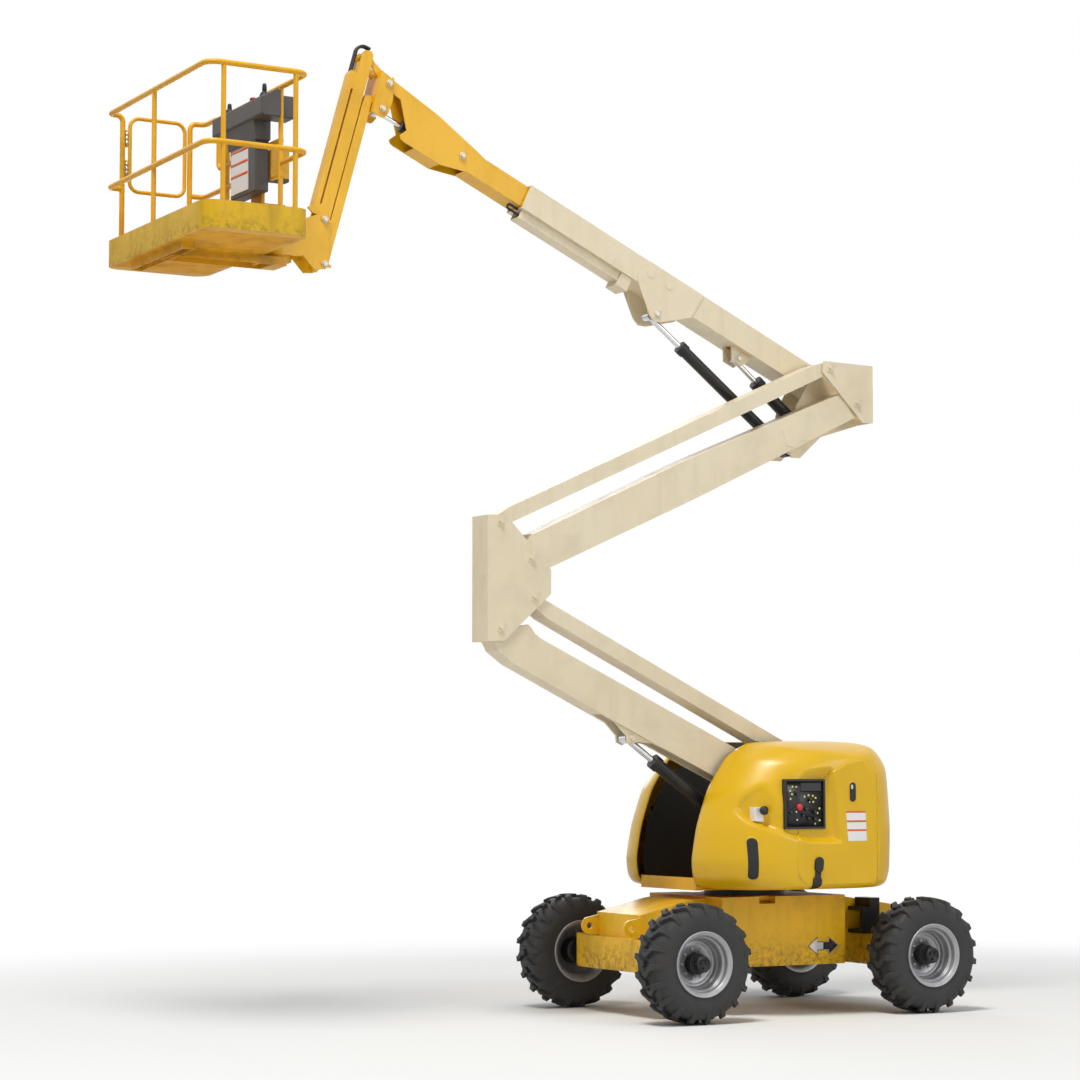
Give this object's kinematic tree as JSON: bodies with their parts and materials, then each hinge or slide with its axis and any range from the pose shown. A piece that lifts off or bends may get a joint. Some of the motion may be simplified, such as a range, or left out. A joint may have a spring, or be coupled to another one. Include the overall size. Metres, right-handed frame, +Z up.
{
  "type": "electric articulating boom lift",
  "caption": "Battery-powered articulating boom lift with a raised tower, extended boom and a hanging jib that carries a railed work platform.",
  "frame": {"origin": "on the ground, midway between the four wheels and on the turntable's swing axis", "axes": "+X forward towards the platform, +Y to the machine's left, +Z up"},
  "size_m": [6.1805, 2.016, 6.8891],
  "materials": {
    "battery_case": "matte",
    "black_paint": "satin",
    "black_plastic": "matte",
    "cast_weight": "gloss",
    "chrome_rod": "polished",
    "cream_paint": "gloss",
    "grey_plastic": "matte",
    "hood_plastic": "gloss",
    "hose_rubber": "matte",
    "rim_paint": "satin",
    "tyre_rubber": "matte",
    "yellow_paint": "gloss"
  },
  "bodies": {
    "chassis": {"chassis_frame": "yellow_paint", "bearing_ring": "black_paint", "rear_post_left": "yellow_paint", "rear_post_right": "yellow_paint"},
    "knuckle_left_body": {"knuckle_left": "black_paint"},
    "knuckle_right_body": {"knuckle_right": "black_paint"},
    "tie_rod_body": {"tie_rod": "black_paint"},
    "wheel_front_left": {"tyre_front_left": "tyre_rubber", "rim_front_left": "rim_paint", "hub_front_left": "black_paint"},
    "wheel_front_right": {"tyre_front_right": "tyre_rubber", "rim_front_right": "rim_paint", "hub_front_right": "black_paint"},
    "wheel_rear_left": {"tyre_rear_left": "tyre_rubber", "rim_rear_left": "rim_paint", "hub_rear_left": "black_paint"},
    "wheel_rear_right": {"tyre_rear_right": "tyre_rubber", "rim_rear_right": "rim_paint", "hub_rear_right": "black_paint"},
    "turntable": {"turntable_frame": "yellow_paint", "counterweight": "cast_weight", "pod_wall_left": "black_paint", "pod_wall_right": "black_paint", "battery_box": "battery_case", "tank_box": "black_paint"},
    "hood_left_body": {"hood_left": "hood_plastic", "control_panel": "black_plastic"},
    "hood_right_body": {"hood_right": "hood_plastic"},
    "lower_arm_body": {"lower_arm": "cream_paint"},
    "lower_link_body": {"lower_link": "cream_paint"},
    "front_upright_body": {"front_upright": "cream_paint"},
    "middle_arm_body": {"middle_arm": "cream_paint"},
    "upper_link_body": {"upper_link": "cream_paint"},
    "rear_upright_body": {"rear_upright": "cream_paint"},
    "tower_cylinder_barrel_body": {"tower_cylinder_barrel": "black_paint"},
    "tower_cylinder_rod_body": {"tower_cylinder_rod": "chrome_rod"},
    "lift_cylinder_barrel_body": {"lift_cylinder_barrel": "black_paint"},
    "lift_cylinder_rod_body": {"lift_cylinder_rod": "chrome_rod"},
    "level_cylinder_barrel_body": {"level_cylinder_barrel": "black_paint"},
    "level_cylinder_rod_body": {"level_cylinder_rod": "chrome_rod"},
    "slave_cylinder_barrel_body": {"slave_cylinder_barrel": "black_paint"},
    "slave_cylinder_rod_body": {"slave_cylinder_rod": "chrome_rod"},
    "base_boom_body": {"base_boom": "cream_paint", "hose_tray": "cream_paint", "tray_hose": "hose_rubber"},
    "fly_boom_body": {"fly_boom": "yellow_paint"},
    "jib_knuckle_body": {"jib_knuckle": "yellow_paint"},
    "jib_arm_body": {"jib_arm": "yellow_paint"},
    "jib_link_body": {"jib_link": "yellow_paint", "jib_hoses": "hose_rubber"},
    "jib_bracket_body": {"jib_bracket": "yellow_paint"},
    "platform": {"platform_support": "yellow_paint", "platform_floor": "yellow_paint", "toe_board": "yellow_paint", "platform_rails": "yellow_paint", "console": "grey_plastic"},
    "gate_body": {"gate": "yellow_paint"}
  },
  "joints": [
    {"name": "steer", "type": "hinge", "parent": "chassis", "child": "knuckle_left_body", "pos_m": [0.995, 0.69, 0.423], "axis": [0, 0, 1], "range_deg": [-30, 30]},
    {"name": "steer_right", "type": "hinge", "parent": "chassis", "child": "knuckle_right_body", "pos_m": [0.995, -0.69, 0.423], "axis": [0, 0, 1], "range_deg": [-30, 30]},
    {"name": "tie_rod_slide", "type": "slide", "parent": "chassis", "child": "tie_rod_body", "axis": [0, 1, 0], "range_m": [-0.11, 0.11]},
    {"name": "wheel_spin_front_left", "type": "hinge", "parent": "knuckle_left_body", "child": "wheel_front_left", "pos_m": [0.995, 0.853, 0.423], "axis": [0, 1, 0], "continuous": true},
    {"name": "wheel_spin_front_right", "type": "hinge", "parent": "knuckle_right_body", "child": "wheel_front_right", "pos_m": [0.995, -0.853, 0.423], "axis": [0, 1, 0], "continuous": true},
    {"name": "wheel_spin_rear_left", "type": "hinge", "parent": "chassis", "child": "wheel_rear_left", "pos_m": [-0.995, 0.853, 0.423], "axis": [0, 1, 0], "continuous": true},
    {"name": "wheel_spin_rear_right", "type": "hinge", "parent": "chassis", "child": "wheel_rear_right", "pos_m": [-0.995, -0.853, 0.423], "axis": [0, 1, 0], "continuous": true},
    {"name": "swing", "type": "hinge", "parent": "chassis", "child": "turntable", "pos_m": [0, 0, 0.88], "axis": [0, 0, 1], "range_deg": [-177, 177]},
    {"name": "hood_left_lift", "type": "hinge", "parent": "turntable", "child": "hood_left_body", "pos_m": [0, 0.376, 1.978], "axis": [1, 0, 0], "range_deg": [0, 70]},
    {"name": "hood_right_lift", "type": "hinge", "parent": "turntable", "child": "hood_right_body", "pos_m": [0, -0.376, 1.978], "axis": [-1, 0, 0], "range_deg": [0, 70]},
    {"name": "tower_lift", "type": "hinge", "parent": "turntable", "child": "lower_arm_body", "pos_m": [-0.53905, 0.236, 1.40579], "axis": [0, -1, 0], "range_deg": [-24, 30]},
    {"name": "lower_link_turn", "type": "hinge", "parent": "turntable", "child": "lower_link_body", "pos_m": [-0.80805, 0.236, 1.63279], "axis": [0, -1, 0], "range_deg": [-24.5, 30.5]},
    {"name": "front_upright_level", "type": "hinge", "parent": "lower_arm_body", "child": "front_upright_body", "pos_m": [2.258, 0.236, 2.77], "axis": [0, 1, 0], "range_deg": [-24.5, 30.5]},
    {"name": "middle_arm_turn", "type": "hinge", "parent": "front_upright_body", "child": "middle_arm_body", "pos_m": [2.012, 0.236, 3.27], "axis": [0, 1, 0], "range_deg": [-24.5, 30.5]},
    {"name": "upper_link_turn", "type": "hinge", "parent": "front_upright_body", "child": "upper_link_body", "pos_m": [2.263, 0.236, 3.522], "axis": [0, 1, 0], "range_deg": [-24.5, 30.5]},
    {"name": "rear_upright_level", "type": "hinge", "parent": "middle_arm_body", "child": "rear_upright_body", "pos_m": [-0.82205, 0.236, 4.55558], "axis": [0, -1, 0], "range_deg": [-24.5, 30.5]},
    {"name": "tower_cylinder_swing", "type": "hinge", "parent": "turntable", "child": "tower_cylinder_barrel_body", "pos_m": [0, 0.236, 1.16], "axis": [0, -1, 0], "range_deg": [-28.6, 35.62]},
    {"name": "tower_cylinder_extend", "type": "slide", "parent": "tower_cylinder_barrel_body", "child": "tower_cylinder_rod_body", "axis": [0.811, 0, 0.585], "range_m": [-0.2211, 0.2756]},
    {"name": "boom_lift", "type": "hinge", "parent": "rear_upright_body", "child": "base_boom_body", "pos_m": [-0.70005, 0, 4.68558], "axis": [0, -1, 0], "range_deg": [-25, 48]},
    {"name": "lift_cylinder_swing", "type": "hinge", "parent": "rear_upright_body", "child": "lift_cylinder_barrel_body", "pos_m": [-0.40005, 0, 4.18958], "axis": [0, -1, 0], "range_deg": [-22.8, 43.32]},
    {"name": "lift_cylinder_extend", "type": "slide", "parent": "lift_cylinder_barrel_body", "child": "lift_cylinder_rod_body", "axis": [0.7886, 0, 0.6149], "range_m": [-0.2349, 0.4482]},
    {"name": "level_cylinder_swing", "type": "hinge", "parent": "rear_upright_body", "child": "level_cylinder_barrel_body", "pos_m": [-0.57005, 0, 4.34458], "axis": [0, -1, 0], "range_deg": [-20.63, 39.15]},
    {"name": "level_cylinder_extend", "type": "slide", "parent": "level_cylinder_barrel_body", "child": "level_cylinder_rod_body", "axis": [0.7716, 0, 0.6361], "range_m": [-0.1375, 0.2613]},
    {"name": "telescope", "type": "slide", "parent": "base_boom_body", "child": "fly_boom_body", "axis": [0.9056, 0, 0.4242], "range_m": [-0.39, 1.5]},
    {"name": "jib_knuckle_level", "type": "hinge", "parent": "fly_boom_body", "child": "jib_knuckle_body", "pos_m": [3.03153, 0, 6.61579], "axis": [0, 1, 0], "range_deg": [-25.5, 48.5]},
    {"name": "slave_cylinder_swing", "type": "hinge", "parent": "fly_boom_body", "child": "slave_cylinder_barrel_body", "pos_m": [2.43925, 0, 6.16166], "axis": [0, -1, 0], "range_deg": [-3.49, 6.24]},
    {"name": "slave_cylinder_extend", "type": "slide", "parent": "slave_cylinder_barrel_body", "child": "slave_cylinder_rod_body", "axis": [0.9255, 0, 0.3788], "range_m": [-0.149, 0.079]},
    {"name": "jib_lift", "type": "hinge", "parent": "jib_knuckle_body", "child": "jib_link_body", "pos_m": [3.18453, 0, 6.80379], "axis": [0, -1, 0], "range_deg": [-0.5, 138]},
    {"name": "jib_arm_turn", "type": "hinge", "parent": "jib_knuckle_body", "child": "jib_arm_body", "pos_m": [3.18453, 0, 6.48979], "axis": [0, -1, 0], "range_deg": [-1, 138.5]},
    {"name": "jib_bracket_level", "type": "hinge", "parent": "jib_link_body", "child": "jib_bracket_body", "pos_m": [3.52203, 0, 5.59502], "axis": [0, 1, 0], "range_deg": [-1, 138.5]},
    {"name": "platform_turn", "type": "hinge", "parent": "jib_bracket_body", "child": "platform", "pos_m": [3.84, 0, 5.4], "axis": [0, 0, 1], "range_deg": [-90, 90]},
    {"name": "gate_swing", "type": "hinge", "parent": "platform", "child": "gate_body", "pos_m": [4.614, -0.886, 6], "axis": [0, 0, 1], "range_deg": [-90, 0]}
  ],
  "couplings": [
    {"joint": "steer_right", "follows": "steer", "ratio": 1},
    {"joint": "tie_rod_slide", "follows": "steer", "m_per_rad": -0.175},
    {"joint": "lower_link_turn", "follows": "tower_lift", "ratio": 1},
    {"joint": "front_upright_level", "follows": "tower_lift", "ratio": 1},
    {"joint": "middle_arm_turn", "follows": "tower_lift", "ratio": 1},
    {"joint": "upper_link_turn", "follows": "tower_lift", "ratio": 1},
    {"joint": "rear_upright_level", "follows": "tower_lift", "ratio": 1},
    {"joint": "tower_cylinder_swing", "follows": "tower_lift", "ratio": 1.1707},
    {"joint": "tower_cylinder_extend", "follows": "tower_lift", "m_per_rad": 0.52067},
    {"joint": "lift_cylinder_swing", "follows": "boom_lift", "ratio": 0.8921},
    {"joint": "lift_cylinder_extend", "follows": "boom_lift", "m_per_rad": 0.53139},
    {"joint": "level_cylinder_swing", "follows": "boom_lift", "ratio": 0.80525},
    {"joint": "level_cylinder_extend", "follows": "boom_lift", "m_per_rad": 0.30828},
    {"joint": "jib_knuckle_level", "follows": "boom_lift", "ratio": 1},
    {"joint": "slave_cylinder_swing", "follows": "boom_lift", "ratio": 0.11963},
    {"joint": "slave_cylinder_extend", "follows": "boom_lift", "m_per_rad": -0.17429},
    {"joint": "jib_arm_turn", "follows": "jib_lift", "ratio": 1},
    {"joint": "jib_bracket_level", "follows": "jib_lift", "ratio": 1}
  ]
}
